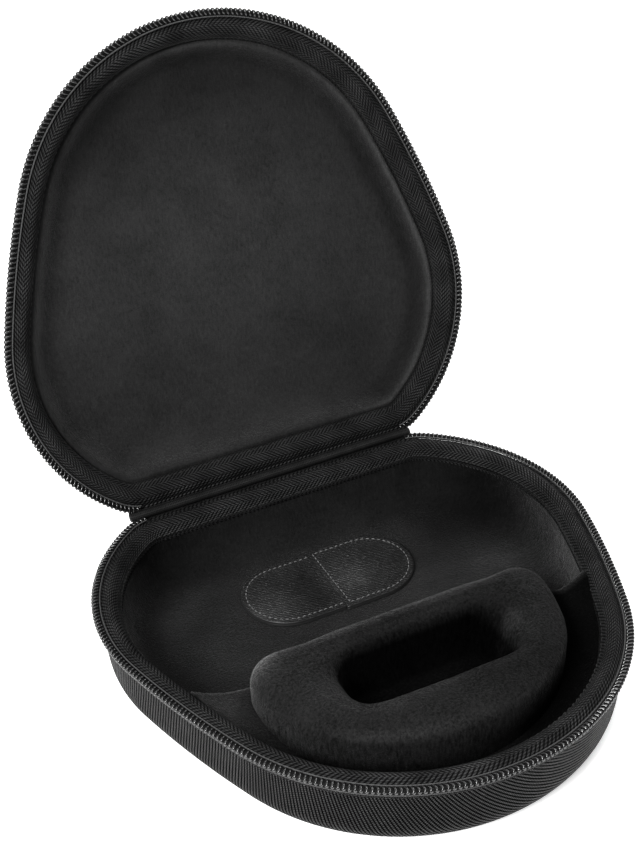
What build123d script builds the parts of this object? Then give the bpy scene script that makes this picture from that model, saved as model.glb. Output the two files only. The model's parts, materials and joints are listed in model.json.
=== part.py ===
"""Headphone carrying case: two moulded halves on a fabric hinge, closed by a coil zip round the rim.

Frame, mm: X along the hinge, +Y towards the hinge, +Z up. The origin is on the underside of the base, on the
centre line. The model rests with the lid standing open. Each half is drawn in its own plane, whose origin is the
middle of the hinge line and whose z = 0 is the zip's meeting plane, so a depth is a distance into that half.
"""

from build123d import *
from math import cos, radians, sin, tan
import os

os.makedirs("parts", exist_ok=True)

# ---- driving dimensions, mm and degrees ----
FRONT_Y = -132.0  # front of the zip
RIM_ARCS = ((90.0, 67.0), (400.0, 8.5), (77.0, 69.5), (22.0, 35.0))  # radius and turn, front centre to hinge edge
BASE_DEPTH = 36.0  # underside to the zip plane
LID_DEPTH = 25.0
LID_OPEN = 108.0  # how far the lid stands open

RIM_INSET = 2.0  # cover inside the zip's outer edge, at the rim
DRAFT = 5.0  # lean of the walls
RIM_DROP = 4.6  # the walls stop this far short of the zip plane
BASE_CORNER = 15.0  # rounding between wall and floor, outside
LID_CORNER = 13.0
COVER = 0.8  # woven outer fabric
SHELL = 3.0  # moulded EVA board
VELOUR = 1.0  # pile lining

COIL_WIDTH = 3.5
COIL_THICK = 2.6
COIL_GAP = 0.1  # each coil's clearance to the zip plane
COIL_END = 63.5  # half of the zip's gap at the hinge
CORD_WIDTH = 1.6
CORD_THICK = 0.9
TAPE = 0.8
TAPE_TOP = 2.0  # depth of the tape's outer edge
TAPE_OUTER = 1.0  # inset of the tape's outer edge
TAPE_INNER = 11.0  # inset of the tape's inner edge
TAPE_FALL = 3.0  # how far the tape slopes down to the lining

BASE_FLOOR = 29.5  # depth of the velour floor
LID_FLOOR = 19.0
LINING_INSET = 11.5  # velour wall, inside the zip's outer edge
LINING_TOP = 6.0  # depth of the linings' upper edge, just under the tape
LINING_ROUND = 8.0  # rounding between lining wall and floor

STEP_BACK = -41.0  # world y of the step between the ear-cup recess and the headband channel
STEP_LEAN = 3.0  # how far the step's foot stands behind its top
STEP_TOP = 10.0  # depth of the saddle on top of the step
SADDLE_ROUND = 4.0
CHANNEL_DEPTH = 23.0  # depth of the headband channel at the front
CHANNEL_FROM = -92.0  # world y where the channel reaches its depth

ISLAND_FRONT = -104.0  # world y
ISLAND_ARCS = ((74.0, 33.0), (49.0, 57.0), (10.0, 90.0))  # radius and turn, front centre to the flat back
ISLAND_TOP = 0.5  # above the zip plane
ISLAND_ROUND = 7.0
POCKET_LENGTH = 70.0
POCKET_FRONT = -82.0
POCKET_BACK = -53.0
POCKET_CORNER = 9.0
POCKET_DEPTH = 24.0
POCKET_WALL = 1.0

CLIP_LENGTH = 75.0
CLIP_WIDTH = 37.5
CLIP_Y = 19.0
CLIP_SEAM = 1.0  # gap between the two leaves
LEATHER = 1.4
ANCHOR_LENGTH = 12.0
ANCHOR = 0.8
ANCHOR_CORNER = 3.0
MAGNET_R = 6.0
MAGNET_THICK = 1.2
MAGNET_X = 21.0
CLEARANCE = 0.1

HINGE_HALF = 62.0
HINGE_GAP = 24.0  # width of a zone that takes in the hinge line and a half's back wall
BEAD_R = 2.2
FLANGE = 0.9
FLANGE_HALF = 57.0
FLANGE_REACH = 16.0  # how far each flange runs down its wall

TAIL_DROP = 10.0  # depth of the centre line of the zip's tail
TAIL_Y = 67.2  # its middle plane
TAIL_END = 9.0
TAIL_START = 59.0
TAIL_WIDTH = 14.0
CHAIN_WIDTH = 6.6
STOP_START = 16.5
STOP_LENGTH = 2.0
STOP_CORNER = 0.5
STRAND_SPREAD = 3.5  # centre of each opened strand from the tail's centre line
STRAND_WIDTH = 3.0
END_TAB_START = 5.0
END_TAB_LENGTH = 11.0
END_TAB_WIDTH = 15.5
END_TAB_THICK = 4.4

SLIDER_X = 35.0
SLIDER_LENGTH = 15.0
SLIDER_WIDTH = 12.6
SHOULDER = 3.0
PLATE = 1.3
CHANNEL = 3.2  # gap between the slider's plates
LIP = 1.0  # width of the walls that close the channel's sides
TAPE_SLIT = 1.4
NECK_WIDTH = 2.6
NECK_LENGTH = 4.0
BRIDGE_LENGTH = 9.0
BRIDGE_WIDTH = 3.0
BRIDGE_POST = 1.5
BRIDGE_RISE = 2.6
BRIDGE_BAR = 1.2
LINK_WIDTH = 7.0
LINK_LENGTH = 9.0
LINK_BAR = 1.3
TAB_LENGTH = 16.0
TAB_WIDTH = 7.5
TAB_THICK = 2.0

# ---- derived places ----
headings = [sum(turn for _, turn in RIM_ARCS[:n]) for n in range(len(RIM_ARCS) + 1)]
rises = [cos(radians(a)) - cos(radians(b)) for a, b in zip(headings, headings[1:])]
RIM_REACH = sum(radius * rise for (radius, _), rise in zip(RIM_ARCS, rises))  # hinge line to front
HINGE_Y = FRONT_Y + RIM_REACH
BASE = Plane(origin=(0, HINGE_Y, BASE_DEPTH), x_dir=(1, 0, 0), z_dir=(0, 0, 1))
lid_up = (0, -sin(radians(LID_OPEN)), -cos(radians(LID_OPEN)))
LID = Plane(origin=BASE.origin, x_dir=(-1, 0, 0), z_dir=lid_up)


# ---- outlines ----
def arc_outline(front, arcs, inset):
    """Face inside a symmetric chain of tangent arcs from its front centre, closed by a straight back edge."""
    with BuildSketch() as plan:
        with BuildLine():
            start = Vector(0, front + inset)
            direction = Vector(1, 0)
            for radius, turn in arcs:
                arc = JernArc(start=start, tangent=direction, radius=radius - inset, arc_size=turn)
                start = arc @ 1
                direction = arc % 1
            Line(start, (0, start.Y))
            mirror(about=Plane.YZ)
        make_face()
    return plan.sketch


def rim(inset):
    """Plan of the case, inset from the zip's outer edge; its origin is on the hinge line."""
    return arc_outline(-RIM_REACH, RIM_ARCS, inset)


def wall_inset(depth):
    """Inset of the cover's outside, at a depth below the zip plane."""
    return RIM_INSET + depth * tan(radians(DRAFT))


# ---- solids that the pieces are cut from ----
def deepest(solid, frame):
    """Edges round the face of a solid that lies furthest down a half."""
    return solid.faces().sort_by(Axis(frame.origin, frame.z_dir))[0].edges()


def bowl(frame, depth, skin, top, corner):
    """Solid shape of one half, a skin's thickness inside its outer surface, from its floor up to depth top."""
    floor = depth - skin
    low = rim(wall_inset(floor) + skin)
    high = rim(wall_inset(top) + skin)
    with BuildPart() as solid:
        with BuildSketch(frame.offset(-floor)):
            add(low)
        with BuildSketch(frame.offset(-top)):
            add(high)
        loft()
        fillet(deepest(solid, frame), corner - skin)
    return solid.part


def cavity(frame, floor, skin, top):
    """Room over a lining with straight walls and a rounded floor, grown outwards by a skin, up to depth top."""
    plan = rim(LINING_INSET - skin)
    with BuildPart() as room:
        with BuildSketch(frame.offset(-floor - skin)):
            add(plan)
        extrude(amount=floor + skin - top)
        fillet(deepest(room, frame), LINING_ROUND + skin)
    return room.part


def step(skin):
    """Raised front floor right across the case: steep back, saddle, headband channel; a skin is taken off it."""
    ridge = (STEP_BACK, BASE_DEPTH - STEP_TOP)
    channel = BASE_DEPTH - CHANNEL_DEPTH
    foot = (STEP_BACK + STEP_LEAN, 0)
    with BuildSketch() as profile:
        Polygon(foot, ridge, (CHANNEL_FROM, channel), (FRONT_Y, channel), (FRONT_Y, 0), align=None)
        fillet(profile.vertices().group_by(Axis.Y)[-1], SADDLE_ROUND)
        offset(amount=-skin)
    with BuildPart() as solid:
        with BuildSketch(Plane.YZ):
            add(profile.sketch)
        extrude(amount=RIM_REACH, both=True)
    return solid.part


def pocket(skin, top):
    """Room of the pocket in the island, grown by a skin, from its floor up to a height above the zip plane."""
    length = POCKET_LENGTH + 2 * skin
    width = POCKET_BACK - POCKET_FRONT + 2 * skin
    with BuildPart() as room:
        with BuildSketch(Plane.XY.offset(BASE_DEPTH - POCKET_DEPTH - skin)):
            with Locations((0, (POCKET_FRONT + POCKET_BACK) / 2)):
                RectangleRounded(length, width, POCKET_CORNER + skin)
        extrude(amount=POCKET_DEPTH + skin + top)
    return room.part


def island(skin):
    """Block of the island, a skin's thickness inside its outer surface."""
    plan = arc_outline(ISLAND_FRONT, ISLAND_ARCS, skin)
    with BuildPart() as block:
        with BuildSketch(Plane.XY.offset(BASE_DEPTH - CHANNEL_DEPTH)):
            add(plan)
        extrude(amount=CHANNEL_DEPTH + ISLAND_TOP - skin)
        fillet(block.faces().sort_by(Axis.Z)[-1].edges(), ISLAND_ROUND - skin)
    return block.part


def rim_band(frame, inset, width, top, thickness):
    """Band along the rim that leaves out the hinge."""
    outer = rim(inset)
    inner = rim(inset + width)
    with BuildPart() as band:
        with BuildSketch(frame.offset(-top)):
            add(outer)
            add(inner, mode=Mode.SUBTRACT)
            Rectangle(2 * COIL_END, HINGE_GAP, mode=Mode.SUBTRACT)
        extrude(amount=-thickness)
    return band.part


def difference(solid, *cutters):
    """One solid less some others."""
    with BuildPart() as result:
        add(solid)
        for cutter in cutters:
            add(cutter, mode=Mode.SUBTRACT)
    return result.part


def finish(part, label):
    """Label a finished piece and write it under its own name."""
    part.label = label
    export_step(part, f"parts/{label}.step")


# ---- pieces that both halves have ----
def layer(frame, depth, corner, outer, inner):
    """One moulded layer of a half, between two distances under its outer surface."""
    return difference(bowl(frame, depth, outer, RIM_DROP, corner), bowl(frame, depth, inner, 0, corner))


def zip_tape(frame):
    """Woven tape all round the rim, sloping down from the coil to the lining."""
    outer = rim(TAPE_OUTER)
    inner = rim(TAPE_INNER)
    with BuildPart() as tape:
        for drop, mode in ((TAPE, Mode.ADD), (0, Mode.SUBTRACT)):
            with BuildSketch(frame.offset(-TAPE_TOP - drop)):
                add(outer)
            with BuildSketch(frame.offset(-TAPE_TOP - TAPE_FALL - drop)):
                add(inner)
            loft(mode=mode)
        with BuildSketch(frame):
            add(inner)
        extrude(amount=-TAPE_TOP - 2 * TAPE_FALL, mode=Mode.SUBTRACT)
    return tape.part


def zip_coil(frame):
    """Coil of one half, with the room for the cord that it is wound round."""
    side = (COIL_WIDTH - CORD_WIDTH) / 2 - CLEARANCE
    face = (COIL_THICK - CORD_THICK) / 2 - CLEARANCE
    room = rim_band(frame, side, COIL_WIDTH - 2 * side, COIL_GAP + face, COIL_THICK - 2 * face)
    return difference(rim_band(frame, 0, COIL_WIDTH, COIL_GAP, COIL_THICK), room)


def zip_cord(frame):
    """Cord inside the coil of one half."""
    side = (COIL_WIDTH - CORD_WIDTH) / 2
    face = (COIL_THICK - CORD_THICK) / 2
    return rim_band(frame, side, CORD_WIDTH, COIL_GAP + face, CORD_THICK)


def hinge_flange(frame, depth, corner):
    """Hem of the hinge fabric, sewn flat on a half's back wall."""
    skin = difference(bowl(frame, depth, -FLANGE, RIM_DROP, corner), bowl(frame, depth, 0, 0, corner))
    with BuildPart() as flange:
        add(skin)
        with BuildSketch(frame.offset(-FLANGE_REACH)):
            Rectangle(2 * FLANGE_HALF, HINGE_GAP)
        extrude(amount=FLANGE_REACH, mode=Mode.INTERSECT)
    return flange.part


for half, frame, depth, corner in (("base", BASE, BASE_DEPTH, BASE_CORNER), ("lid", LID, LID_DEPTH, LID_CORNER)):
    finish(layer(frame, depth, corner, 0, COVER), f"{half}_cover")
    finish(layer(frame, depth, corner, COVER, COVER + SHELL), f"{half}_shell")
    finish(zip_tape(frame), f"{half}_zip_tape")
    finish(zip_coil(frame), f"{half}_zip_coil")
    finish(zip_cord(frame), f"{half}_zip_cord")
    finish(hinge_flange(frame, depth, corner), f"hinge_flange_{half}")

# ---- lid padding and lining ----
lid_block = bowl(LID, LID_DEPTH, COVER + SHELL, LINING_TOP, LID_CORNER)
lid_skin = cavity(LID, LID_FLOOR, VELOUR, LINING_TOP)
finish(difference(lid_block, cavity(LID, LID_FLOOR, VELOUR, 0)), "lid_pad")
finish(difference(lid_skin, cavity(LID, LID_FLOOR, 0, 0)), "lid_lining")

# ---- base tray and its lining ----
pocket_hole = pocket(POCKET_WALL, 2 * ISLAND_TOP)
tray_block = bowl(BASE, BASE_DEPTH, COVER + SHELL, LINING_TOP, BASE_CORNER)
tray_room = difference(cavity(BASE, BASE_FLOOR, VELOUR, 0), step(VELOUR))
lining_block = difference(cavity(BASE, BASE_FLOOR, VELOUR, LINING_TOP), step(VELOUR))
lining_room = difference(cavity(BASE, BASE_FLOOR, 0, 0), step(0))
finish(difference(tray_block, tray_room, pocket_hole), "base_tray")
finish(difference(lining_block, lining_room, pocket_hole), "base_lining")

# ---- island: foam pad, velour cover, pocket ----
finish(difference(island(VELOUR), step(0), pocket_hole), "island_pad")
finish(difference(island(0), island(VELOUR), step(0), pocket_hole), "island_cover")
finish(difference(pocket(POCKET_WALL, ISLAND_TOP), pocket(0, 2 * ISLAND_TOP)), "pocket_liner")

# ---- rolled edge of the hinge fabric, on the hinge line ----
with BuildPart() as hinge_bead:
    with BuildSketch(Plane.YZ.offset(-HINGE_HALF)):
        with Locations((HINGE_Y, BASE_DEPTH)):
            Circle(BEAD_R)
    extrude(amount=2 * HINGE_HALF)
finish(hinge_bead.part, "hinge_bead")

# ---- magnetic leather clip on the recess floor: an anchor and two leaves that fold up at the seam ----
FLOOR_Z = BASE_DEPTH - BASE_FLOOR
BACK_Z = FLOOR_Z + ANCHOR + CLEARANCE
FACE_Z = BACK_Z + LEATHER
MAGNET_Z = FACE_Z - MAGNET_THICK / 2

with BuildPart() as clip_anchor:
    with BuildSketch(Plane.XY.offset(FLOOR_Z)):
        with Locations((0, CLIP_Y)):
            RectangleRounded(ANCHOR_LENGTH, CLIP_WIDTH, ANCHOR_CORNER)
    extrude(amount=ANCHOR)
finish(clip_anchor.part, "clip_anchor")


def leaf(side, bottom):
    """One leather of a leaf: half of a round-ended strip, with its share of the magnet's seat."""
    with BuildPart() as leather:
        with BuildSketch(Plane.XY.offset(bottom)):
            with Locations((0, CLIP_Y)):
                SlotOverall(CLIP_LENGTH, CLIP_WIDTH)
            with Locations((side * (CLIP_SEAM + CLIP_LENGTH) / 2, CLIP_Y)):
                Rectangle(CLIP_LENGTH, 2 * CLIP_WIDTH, mode=Mode.INTERSECT)
        extrude(amount=LEATHER)
        with BuildSketch(Plane.XY.offset(MAGNET_Z - CLEARANCE)):
            with Locations((side * MAGNET_X, CLIP_Y)):
                Circle(MAGNET_R + CLEARANCE)
        extrude(amount=MAGNET_THICK + 2 * CLEARANCE, mode=Mode.SUBTRACT)
    return leather.part


for name, side in (("left", -1), ("right", 1)):
    finish(leaf(side, BACK_Z), f"clip_{name}_back")
    finish(leaf(side, FACE_Z), f"clip_{name}_face")
    with BuildPart() as magnet:
        with BuildSketch(Plane.XY.offset(MAGNET_Z)):
            with Locations((side * MAGNET_X, CLIP_Y)):
                Circle(MAGNET_R)
        extrude(amount=MAGNET_THICK)
    finish(magnet.part, f"clip_{name}_magnet")

# ---- tail of the zip behind the hinge, where the slider parks; drawn in its own upright plane ----
TAIL = Plane(origin=(0, TAIL_Y, BASE_DEPTH - TAIL_DROP), x_dir=(1, 0, 0), z_dir=(0, -1, 0))
CHAIN_START = STOP_START + STOP_LENGTH + CLEARANCE
NECK_START = SLIDER_X + SLIDER_LENGTH / 2 - NECK_LENGTH
CHAIN_END = NECK_START - 2 * CLEARANCE
STRAND_EDGE = STRAND_SPREAD + STRAND_WIDTH / 2


def between(start, end):
    """Place on the tail's centre line halfway between two places along it."""
    return Locations(((start + end) / 2, 0))


with BuildPart() as zip_tail_tape:
    with BuildSketch(TAIL):
        with between(TAIL_END, TAIL_START):
            Rectangle(TAIL_START - TAIL_END, TAIL_WIDTH)
        with between(STOP_START - CLEARANCE, CHAIN_END + CLEARANCE):
            Rectangle(CHAIN_END - STOP_START + 2 * CLEARANCE, CHAIN_WIDTH + 2 * CLEARANCE, mode=Mode.SUBTRACT)
        with between(CHAIN_END, TAIL_START):
            Rectangle(TAIL_START - CHAIN_END, 2 * (STRAND_EDGE + CLEARANCE), mode=Mode.SUBTRACT)
    extrude(amount=TAPE / 2, both=True)
finish(zip_tail_tape.part, "zip_tail_tape")

with BuildPart() as zip_tail_coil:
    with BuildSketch(TAIL):
        with between(CHAIN_START, CHAIN_END):
            Rectangle(CHAIN_END - CHAIN_START, CHAIN_WIDTH)
        with between(NECK_START, TAIL_START):
            with GridLocations(0, 2 * STRAND_SPREAD, 1, 2):
                Rectangle(TAIL_START - NECK_START, STRAND_WIDTH)
    extrude(amount=COIL_THICK / 2, both=True)
finish(zip_tail_coil.part, "zip_tail_coil")

with BuildPart() as zip_bottom_stop:
    with BuildSketch(TAIL):
        with between(STOP_START, STOP_START + STOP_LENGTH):
            RectangleRounded(STOP_LENGTH, CHAIN_WIDTH, STOP_CORNER)
    extrude(amount=COIL_THICK / 2, both=True)
finish(zip_bottom_stop.part, "zip_bottom_stop")

with BuildPart() as zip_end_tab:
    with BuildSketch(TAIL):
        with between(END_TAB_START, END_TAB_START + END_TAB_LENGTH):
            RectangleRounded(END_TAB_LENGTH, END_TAB_WIDTH, SHOULDER)
    extrude(amount=END_TAB_THICK / 2, both=True)
    add(zip_tail_tape.part, mode=Mode.SUBTRACT)
finish(zip_end_tab.part, "zip_end_tab")

# ---- slider: two plates joined by a neck, lips that hold the coil in, and a bridge for the pull ----
half_channel = CHANNEL / 2
slider_outer = half_channel + PLATE
with BuildPart() as slider_body:
    with BuildSketch(TAIL):
        with Locations((SLIDER_X, 0)):
            RectangleRounded(SLIDER_LENGTH, SLIDER_WIDTH, SHOULDER)
    extrude(amount=slider_outer, both=True)
    with BuildSketch(TAIL):
        with Locations((SLIDER_X, 0)):
            Rectangle(2 * SLIDER_LENGTH, SLIDER_WIDTH - 2 * LIP)
        with between(NECK_START, NECK_START + NECK_LENGTH):
            SlotOverall(NECK_LENGTH, NECK_WIDTH, mode=Mode.SUBTRACT)
    extrude(amount=half_channel, both=True, mode=Mode.SUBTRACT)
    with BuildSketch(TAIL):
        with Locations((SLIDER_X, 0)):
            with GridLocations(0, SLIDER_WIDTH, 1, 2):
                Rectangle(2 * SLIDER_LENGTH, 3 * LIP)
    extrude(amount=TAPE_SLIT / 2, both=True, mode=Mode.SUBTRACT)
    with BuildSketch(TAIL.offset(-slider_outer)):
        with Locations((SLIDER_X, 0)):
            RectangleRounded(BRIDGE_LENGTH, BRIDGE_WIDTH, BRIDGE_POST / 2)
    extrude(amount=-BRIDGE_RISE - BRIDGE_BAR)
    with BuildSketch(TAIL.offset(-slider_outer)):
        with Locations((SLIDER_X, 0)):
            Rectangle(BRIDGE_LENGTH - 2 * BRIDGE_POST, 2 * BRIDGE_WIDTH)
    extrude(amount=-BRIDGE_RISE, mode=Mode.SUBTRACT)
finish(slider_body.part, "slider_body")

# ---- pull: a wire link through the bridge and a grip moulded round its far end ----
LINK_PLANE = TAIL.offset(-slider_outer - BRIDGE_RISE / 2)
link_start = SLIDER_X + LINK_BAR / 2 - LINK_LENGTH
with BuildPart() as pull_link:
    with BuildSketch(LINK_PLANE):
        with between(link_start, link_start + LINK_LENGTH):
            RectangleRounded(LINK_LENGTH, LINK_WIDTH, LINK_BAR)
            RectangleRounded(LINK_LENGTH - 2 * LINK_BAR, LINK_WIDTH - 2 * LINK_BAR, LINK_BAR / 2, mode=Mode.SUBTRACT)
    extrude(amount=LINK_BAR / 2, both=True)
finish(pull_link.part, "pull_link")

with BuildPart() as pull_tab:
    with BuildSketch(LINK_PLANE):
        with between(link_start + 2 * LINK_BAR - TAB_LENGTH, link_start + 2 * LINK_BAR):
            RectangleRounded(TAB_LENGTH, TAB_WIDTH, SHOULDER)
    extrude(amount=TAB_THICK / 2, both=True)
    add(pull_link.part, mode=Mode.SUBTRACT)
finish(pull_tab.part, "pull_tab")
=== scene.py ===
"""Looks of the headphone carrying case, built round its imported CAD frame.

Sizes are in millimetres and turn into metres where a mesh is written. A half of the case is drawn in its own
frame: origin in the middle of the hinge line, z = 0 on the zip's meeting plane, y towards the hinge.
"""

import json
import math

import bmesh
import bpy
import numpy as np
from mathutils import Matrix, Vector


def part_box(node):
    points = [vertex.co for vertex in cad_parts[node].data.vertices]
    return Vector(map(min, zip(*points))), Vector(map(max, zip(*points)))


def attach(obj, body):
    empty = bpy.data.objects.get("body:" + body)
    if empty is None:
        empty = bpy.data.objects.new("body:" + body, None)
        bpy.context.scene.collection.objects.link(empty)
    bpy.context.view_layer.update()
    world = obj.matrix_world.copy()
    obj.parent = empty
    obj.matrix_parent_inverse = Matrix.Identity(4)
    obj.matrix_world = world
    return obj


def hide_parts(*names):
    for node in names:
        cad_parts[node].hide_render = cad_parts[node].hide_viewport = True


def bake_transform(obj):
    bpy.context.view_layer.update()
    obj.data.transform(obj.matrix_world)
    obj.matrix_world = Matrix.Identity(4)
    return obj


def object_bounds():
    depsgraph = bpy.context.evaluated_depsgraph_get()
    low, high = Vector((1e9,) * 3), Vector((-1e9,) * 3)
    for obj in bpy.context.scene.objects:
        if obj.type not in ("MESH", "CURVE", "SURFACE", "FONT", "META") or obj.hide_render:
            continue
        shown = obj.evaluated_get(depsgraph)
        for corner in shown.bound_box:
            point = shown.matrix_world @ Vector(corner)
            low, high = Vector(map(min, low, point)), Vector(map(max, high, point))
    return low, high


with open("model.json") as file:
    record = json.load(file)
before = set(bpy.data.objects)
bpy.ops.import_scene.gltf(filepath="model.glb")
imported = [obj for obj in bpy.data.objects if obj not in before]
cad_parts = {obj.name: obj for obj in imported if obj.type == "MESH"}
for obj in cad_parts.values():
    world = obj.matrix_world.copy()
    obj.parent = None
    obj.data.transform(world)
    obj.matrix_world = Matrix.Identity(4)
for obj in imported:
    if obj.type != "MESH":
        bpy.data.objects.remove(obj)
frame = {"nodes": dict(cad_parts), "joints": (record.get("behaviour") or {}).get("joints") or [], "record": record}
cad_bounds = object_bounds()

MM = 0.001
LID_HINGE = next(joint for joint in frame["joints"] if joint["name"] == "lid_hinge")
HINGE = np.array(LID_HINGE["pos_m"])
HINGE_Y = HINGE[1] / MM
LID_OPEN = math.radians(LID_HINGE["range_deg"][1])
BASE_DEPTH = HINGE[2] / MM
LID_DEPTH = 25.0

# ---- the rim and the shells, as the CAD draws them ----
# radius and turn of each arc, from the front centre to the hinge edge
RIM_ARCS = ((90.0, 67.0), (400.0, 8.5), (77.0, 69.5), (22.0, 35.0))
RIM_INSET = 2.0
DRAFT = math.radians(5.0)
RIM_DROP = 4.6
BASE_CORNER = 15.0
LID_CORNER = 13.0
BASE_FLOOR = 29.5
LID_FLOOR = 19.0
LINING_EDGE = 11.5  # inset where the velour comes out from under the tape, at the back and the sides
LINING_TOP = 5.6
FRONT_EXTRA = {"base": 2.2, "lid": 0.3}  # the tape is this much wider at the front
CROWN_LIFT = {"base": 0.5, "lid": 0.2}
COIL_PITCH = 1.95
COIL_WIDTH = 3.0
COIL_THICK = 2.1


# ---- geometry helpers ----
def ramp(value, start, end):
    """Share that is 0 at start and 1 at end, straight between and level outside; it falls if end is smaller."""
    return np.clip((value - start) / (end - start), 0, 1)


def bell(value, middle, width):
    """Share that is 1 at the middle and fades out on both sides."""
    return np.exp(-((value - middle) / width) ** 2)


def outline(arcs, front, step):
    """Points and outward normals of a closed line, counter-clockwise from its front centre. The arcs run up the
    right side to a straight back edge, and the left side mirrors them."""
    radius = arcs[0][0]
    centre = np.array([0.0, front + radius])
    heading = 0.0
    points = []
    normals = []
    for next_radius, turn in arcs:
        outward = np.array([math.sin(heading), -math.cos(heading)])
        centre = centre + (radius - next_radius) * outward
        radius = next_radius
        count = max(2, round(radius * math.radians(turn) / step))
        for k in range(count):
            angle = heading + math.radians(turn) * k / count
            normal = np.array([math.sin(angle), -math.cos(angle)])
            points.append(centre + radius * normal)
            normals.append(normal)
        heading += math.radians(turn)
    count = max(2, round(centre[0] / step))
    for k in range(count + 1):
        points.append(np.array([centre[0] * (1 - k / count), centre[1] + radius]))
        normals.append(np.array([0.0, 1.0]))
    right = np.array(points)
    right_normal = np.array(normals)
    left = right[-2:0:-1] * (-1, 1)
    left_normal = right_normal[-2:0:-1] * (-1, 1)
    return np.vstack([right, left]), np.vstack([right_normal, left_normal])


def arcs_reach(arcs):
    """Distance from the back edge of an outline to its front."""
    total = 0.0
    heading = 0.0
    for radius, turn in arcs:
        total += radius * (math.cos(heading) - math.cos(heading + math.radians(turn)))
        heading += math.radians(turn)
    return total


def around(points):
    """Distance along a closed line at each point, with the whole length last."""
    steps = np.linalg.norm(np.roll(points, -1, 0) - points, axis=1)
    return np.concatenate([[0.0], np.cumsum(steps)])


RIM_REACH = arcs_reach(RIM_ARCS)
RIM, RIM_NORMAL = outline(RIM_ARCS, -RIM_REACH, 0.9)
RIM_EXTRA = {half: extra * np.clip(-RIM_NORMAL[:, 1], 0, 1) ** 2.5 for half, extra in FRONT_EXTRA.items()}
HINGE_SHARE = np.where(RIM_NORMAL[:, 1] > 0.9, ramp(np.abs(RIM[:, 0]), 70.0, 65.0), 0.0)  # 1 along the hinge
RIM_ALONG = around(RIM - 6.0 * RIM_NORMAL)  # distance along the middle of the tape


def ease(share):
    """The same share with a soft start and end."""
    return share * share * (3 - 2 * share)


def smooth_max(a, b, width):
    """Larger of two heights, with the crease between them rounded over a width."""
    gap = np.clip(0.5 + 0.5 * (a - b) / width, 0, 1)
    return b + (a - b) * gap + width * gap * (1 - gap)


def smooth_min(a, b, width):
    """Smaller of two heights, rounded likewise."""
    return -smooth_max(-a, -b, width)


def at_height(plan, z):
    """Plan points with a height, one for all or one for each."""
    return np.column_stack([plan, np.broadcast_to(z, len(plan))])


def closed_up(points):
    """A line with its first point again at the end."""
    return np.vstack([points, points[:1]])


def half_basis(half):
    """Rows that carry a half's own x, y and z into the case's frame."""
    if half == "base":
        return np.eye(3)
    x_dir = np.array([-1.0, 0.0, 0.0])
    z_dir = np.array([0.0, -math.sin(LID_OPEN), -math.cos(LID_OPEN)])
    return np.array([x_dir, np.cross(z_dir, x_dir), z_dir])


def to_world(points, half="base"):
    """Points in a half's frame, mm, as points of the case in metres."""
    return np.asarray(points) * MM @ half_basis(half) + HINGE


def distance_in(points, half):
    """How far each plan point lies inside the rim, counted as if the tape were equally wide all round."""
    gap = np.linalg.norm(points[:, None, :] - RIM[None, :, :], axis=2)
    return gap.min(axis=1) - RIM_EXTRA[half][gap.argmin(axis=1)]


def grid(rows, columns, closed=True, loop=False, start=0):
    """Quads of a grid of points. A closed grid joins each row's ends, and a loop its last row to the first."""
    faces = []
    for i in range(rows if loop else rows - 1):
        low = start + i * columns
        high = start + (i + 1) % rows * columns
        for j in range(columns if closed else columns - 1):
            k = (j + 1) % columns
            faces.append((low + j, low + k, high + k, high + j))
    return faces


def capped(rows, sides, start=0):
    """Faces of a wire made of rings of points, with both its ends."""
    last = start + (rows - 1) * sides
    ends = [list(range(start, start + sides))[::-1], list(range(last, last + sides))]
    return grid(rows, sides, start=start) + ends


def smooth_shaded(mesh):
    """Shade all faces of a mesh smooth."""
    mesh.polygons.foreach_set("use_smooth", [True] * len(mesh.polygons))
    mesh.update()


def new_mesh(name, verts, faces, uv=None):
    """Object from metres, with one uv pair for each face corner if given."""
    mesh = bpy.data.meshes.new(name)
    mesh.from_pydata(np.asarray(verts, float).tolist(), [], faces)
    if uv is not None:
        layer = mesh.uv_layers.new(name="sheet")
        layer.data.foreach_set("uv", np.asarray(uv, np.float32).ravel())
    smooth_shaded(mesh)
    piece = bpy.data.objects.new(name, mesh)
    bpy.context.scene.collection.objects.link(piece)
    return piece


def get_points(mesh):
    """A mesh's points as rows of x, y and z."""
    points = np.zeros(len(mesh.vertices) * 3)
    mesh.vertices.foreach_get("co", points)
    return points.reshape(-1, 3)


def ring_mesh(name, rings, uvs, half, centre=None):
    """Sheet of closed rings, mm in a half's frame, each with a uv per point and one more for the seam's far
    side. With a centre (point and uv), the last ring is closed by a fan."""
    rows, count = len(rings), len(rings[0])
    verts = np.vstack(rings)
    faces = grid(rows, count)
    corners = []
    for i in range(rows - 1):
        for j in range(count):
            corners += [uvs[i][j], uvs[i][j + 1], uvs[i + 1][j + 1], uvs[i + 1][j]]
    if centre is not None:
        verts = np.vstack([verts, [centre[0]]])
        last = (rows - 1) * count
        for j in range(count):
            faces.append((last + j, last + (j + 1) % count, rows * count))
            corners += [uvs[-1][j], uvs[-1][j + 1], centre[1]]
    return new_mesh(name, to_world(verts, half), faces, corners)


def modify(piece, kind, **settings):
    """Give a piece a modifier with some settings."""
    modifier = piece.modifiers.new(kind.lower(), kind)
    for name, value in settings.items():
        setattr(modifier, name, value)


def solidify(piece, thickness, offset=-1.0):
    """Give a sheet a thickness, in mm, behind it or, with offset 0, on both sides."""
    modify(piece, "SOLIDIFY", thickness=thickness * MM, offset=offset, use_even_offset=False)


def apply_modifiers(piece):
    """Turn a piece's modifiers into its own mesh."""
    graph = bpy.context.evaluated_depsgraph_get()
    result = bpy.data.meshes.new_from_object(piece.evaluated_get(graph))
    old = piece.data
    piece.modifiers.clear()
    piece.data = result
    bpy.data.meshes.remove(old)


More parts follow.
